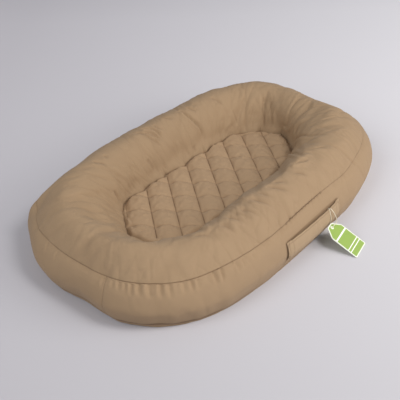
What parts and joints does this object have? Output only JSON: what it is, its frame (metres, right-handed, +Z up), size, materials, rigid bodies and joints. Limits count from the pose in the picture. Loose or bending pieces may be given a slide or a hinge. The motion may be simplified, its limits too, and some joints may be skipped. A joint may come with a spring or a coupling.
{
  "type": "infant lounger",
  "caption": "Oval stuffed ring cushion with a sunken diamond-quilted well for a baby to lie in, a canvas carry strap and a hang tag.",
  "frame": {"origin": "centre of the underside, on the surface that the lounger lies on", "axes": "+X along the lounger's length, +Z up, the carry strap on the -Y long side"},
  "size_m": [0.7396, 0.5542, 0.126],
  "materials": {
    "canvas": "matte",
    "quilt_canvas": "matte",
    "lining": "matte",
    "fibre_fill": "matte",
    "thread": "matte",
    "string": "matte",
    "tag_card": "matte"
  },
  "bodies": {
    "cushion": {"centre_pad": "fibre_fill", "bolster_fill": "fibre_fill", "well_tie_wall": "lining", "quilt_backing": "lining", "quilt_wadding": "fibre_fill", "quilt_face": "quilt_canvas", "base_panel": "canvas", "side_band_far_side": "canvas", "side_band_handle_side": "canvas", "top_panel": "canvas", "closing_thread": "thread", "handle_left_anchor": "canvas", "handle_right_anchor": "canvas"},
    "strap_left": {"handle_strap_left": "canvas"},
    "strap_right": {"handle_strap_right": "canvas", "string_hitch": "string"},
    "tag": {"tag_string": "string", "hang_tag": "tag_card"}
  },
  "joints": [
    {"name": "strap_right_bow", "type": "hinge", "parent": "cushion", "child": "strap_right", "pos_m": [0.082, -0.2375, 0.043], "axis": [0, 0, 1], "range_deg": [0, 10]},
    {"name": "strap_left_bow", "type": "hinge", "parent": "cushion", "child": "strap_left", "pos_m": [-0.082, -0.2375, 0.043], "axis": [0, 0, -1], "range_deg": [0, 10]},
    {"name": "tag_swing", "type": "hinge", "parent": "strap_right", "child": "tag", "pos_m": [0.044, -0.2395, 0.061], "axis": [-1, 0, 0], "range_deg": [0, 90]}
  ],
  "couplings": [
    {"joint": "strap_left_bow", "follows": "strap_right_bow", "ratio": 1}
  ]
}
